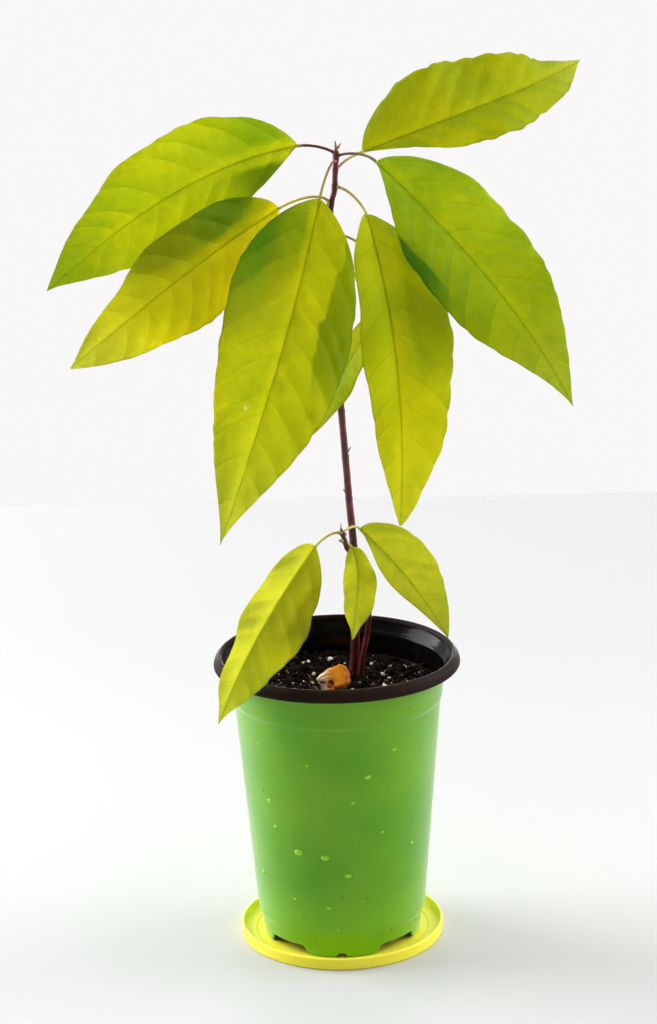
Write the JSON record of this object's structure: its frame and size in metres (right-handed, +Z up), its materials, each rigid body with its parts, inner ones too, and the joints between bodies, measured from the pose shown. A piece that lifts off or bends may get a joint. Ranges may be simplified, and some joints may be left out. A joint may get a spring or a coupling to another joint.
{
  "type": "potted avocado tree",
  "caption": "Young avocado tree with large drooping leaves on a slim stem and a short side shoot, in a tapered nursery pot of soil standing on a round saucer.",
  "frame": {"origin": "centre of the saucer's flat underside, on the ground", "axes": "+Z up along the pot's axis, -Y towards the plant's front, where the drooping front leaves hang, +X to the viewer's right"},
  "size_m": [0.2742, 0.2448, 0.4656],
  "materials": {
    "saucer": "satin moulded plastic",
    "pot": "satin formed sheet, green outside and black inside",
    "soil": "rough, damp potting mix",
    "seed": "matt",
    "stem": "smooth, slightly glossy young bark",
    "leaf": "satin leaf"
  },
  "bodies": {
    "root": {"saucer": "saucer", "pot": "pot", "soil": "soil", "seed": "seed", "main_stem": "stem", "shoot_stem": "stem", "leaf_upper_right": "leaf", "leaf_upper_left": "leaf", "leaf_right": "leaf", "leaf_left": "leaf", "leaf_front": "leaf", "leaf_front_right": "leaf", "leaf_inner": "leaf", "leaf_back_left": "leaf", "leaf_back_middle": "leaf", "leaf_back_right": "leaf", "leaf_shoot_left": "leaf", "leaf_shoot_small": "leaf", "leaf_shoot_right": "leaf"}
  },
  "joints": []
}
